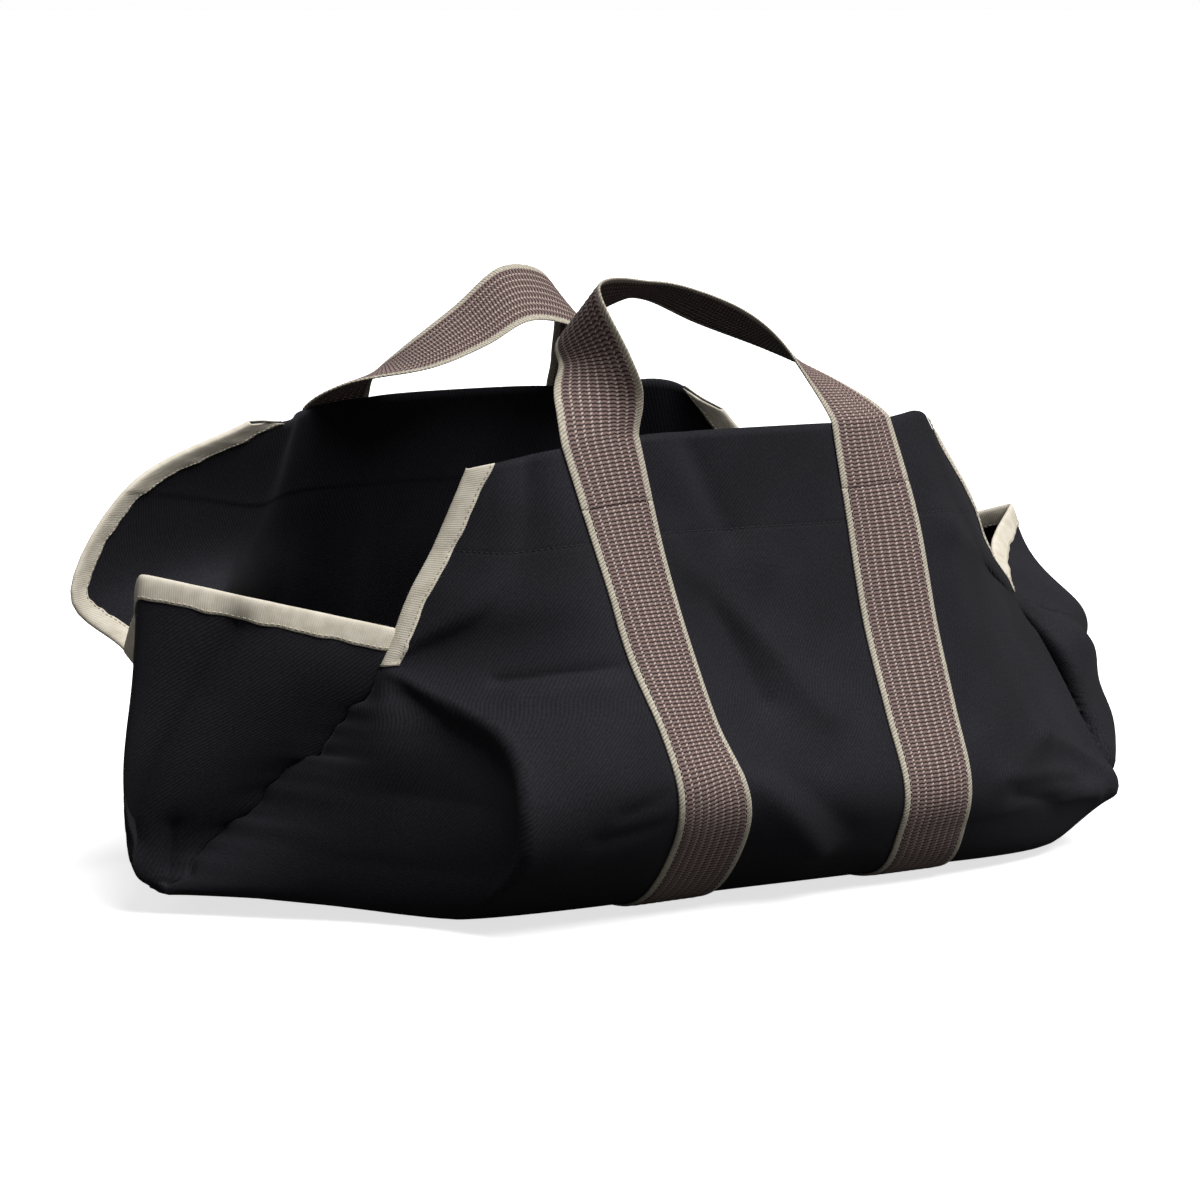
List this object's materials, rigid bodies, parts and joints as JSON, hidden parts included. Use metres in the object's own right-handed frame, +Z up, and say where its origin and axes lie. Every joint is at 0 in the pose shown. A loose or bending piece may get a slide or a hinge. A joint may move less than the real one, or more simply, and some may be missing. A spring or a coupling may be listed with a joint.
{
  "type": "log carrier",
  "caption": "Open cloth carrier for firewood: a wrapped panel with sloping bound edges, pointed end panels, and webbing straps that run under the bag and rise into loop handles.",
  "frame": {"origin": "on the floor, in the middle of the carrier's box seen from above", "axes": "+X along the carrier, from its left end to its right end; the wall with the visible front handle faces -Y; +Z up"},
  "size_m": [0.6874, 0.4384, 0.3565],
  "materials": {
    "cloth": "black twill-woven polyester, matt with a faint sheen",
    "webbing": "brown ribbed webbing with light dotted lines and beige cord edges",
    "tape": "beige ribbed binding tape"
  },
  "bodies": {
    "root": {"main_panel": "cloth", "end_panel_left": "cloth", "end_panel_right": "cloth", "strap_left": "webbing", "strap_right": "webbing", "handle_front": "webbing", "handle_rear": "webbing", "binding_front_left": "tape", "binding_front_right": "tape", "binding_rear_left": "tape", "binding_rear_right": "tape", "binding_end_left": "tape", "binding_end_right": "tape"}
  },
  "joints": []
}
